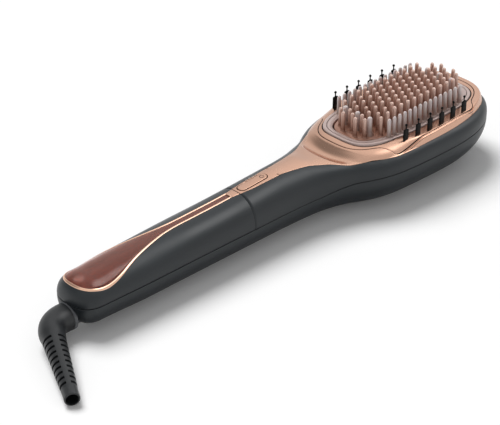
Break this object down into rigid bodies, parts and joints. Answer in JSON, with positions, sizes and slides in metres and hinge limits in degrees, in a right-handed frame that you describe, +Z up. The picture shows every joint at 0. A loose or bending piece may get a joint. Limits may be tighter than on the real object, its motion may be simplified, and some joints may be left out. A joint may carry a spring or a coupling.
{
  "type": "steam hair straightener brush",
  "caption": "Steam hair straightening brush with a heated pin and comb head, lift-off water tank, push button and swivelling cord boot.",
  "frame": {"origin": "centre of the flat spot under the head that the brush rests on when it lies on its back", "axes": "+X along the handle towards the head, +Z up out of the bristle side, +Y across the head"},
  "size_m": [0.3519, 0.0892, 0.052],
  "materials": {
    "soft_touch_shell": "soft-touch charcoal paint",
    "rose_gold": "rose gold metallised plastic",
    "pearl": "pearl silver",
    "copper_pin": "copper-brown coated die casting",
    "smoked_window": "smoked rose-brown clear plastic",
    "tank_inner": "tinted clear plastic",
    "black_rubber": "moulded rubber",
    "black_bristle": "soft nylon",
    "grey_plastic": "heat-proof moulded",
    "white_plastic": "plain moulded",
    "cast_aluminium": "as cast",
    "steel": "zinc plated",
    "board_green": "glass-epoxy board",
    "silicone": "translucent silicone",
    "clear_guide": "clear"
  },
  "bodies": {
    "root": {"lower_shell": "soft_touch_shell", "upper_shell": "soft_touch_shell", "tank_tray": "soft_touch_shell", "top_panel": "rose_gold", "pad_insert": "rose_gold", "comb_ring": "pearl", "steam_pins": "pearl", "pin_plate": "copper_pin", "bristle_strip_left": "black_bristle", "bristle_strip_right": "black_bristle", "head_frame": "grey_plastic", "ptc_heaters": "grey_plastic", "heater_insulator": "silicone", "heater_clamp": "steel", "steam_chamber": "cast_aluminium", "chamber_gasket": "silicone", "chamber_lid": "cast_aluminium", "steam_seals": "silicone", "thermal_fuse": "white_plastic", "temperature_sensor": "grey_plastic", "frame_screws": "steel", "pump_body": "grey_plastic", "inlet_hose": "silicone", "outlet_hose": "silicone", "dock_socket": "white_plastic", "dock_seal": "silicone", "control_board": "board_green", "tact_switch": "grey_plastic", "status_leds": "white_plastic", "light_guide": "clear_guide", "power_board": "board_green", "terminal_block": "white_plastic", "filter_capacitor": "white_plastic", "shell_screws": "steel", "tray_screw": "steel", "board_screws": "steel", "power_screws": "steel", "swivel_washer": "white_plastic"},
    "tank": {"tank_cover": "soft_touch_shell", "tank_reservoir": "smoked_window", "window_trim": "rose_gold", "tank_floor": "tank_inner", "filler_plug": "silicone", "valve_spout": "white_plastic", "valve_seal": "silicone", "tank_valve": "silicone"},
    "button": {"push_button": "rose_gold", "switch_plunger": "white_plastic"},
    "swivel": {"swivel_core": "grey_plastic", "strain_relief": "black_rubber", "retaining_clip": "steel"}
  },
  "joints": [
    {"name": "tank_slide", "type": "slide", "parent": "root", "child": "tank", "axis": [-1, 0, 0], "range_m": [0, 0.02]},
    {"name": "button_press", "type": "slide", "parent": "root", "child": "button", "axis": [0, 0, -1], "range_m": [0, 0.0008], "stiffness_N_per_m": 2000},
    {"name": "cord_swivel", "type": "hinge", "parent": "root", "child": "swivel", "pos_m": [-0.25, 0, 0.0097], "axis": [1, 0, 0], "range_deg": [-6, 174]}
  ]
}
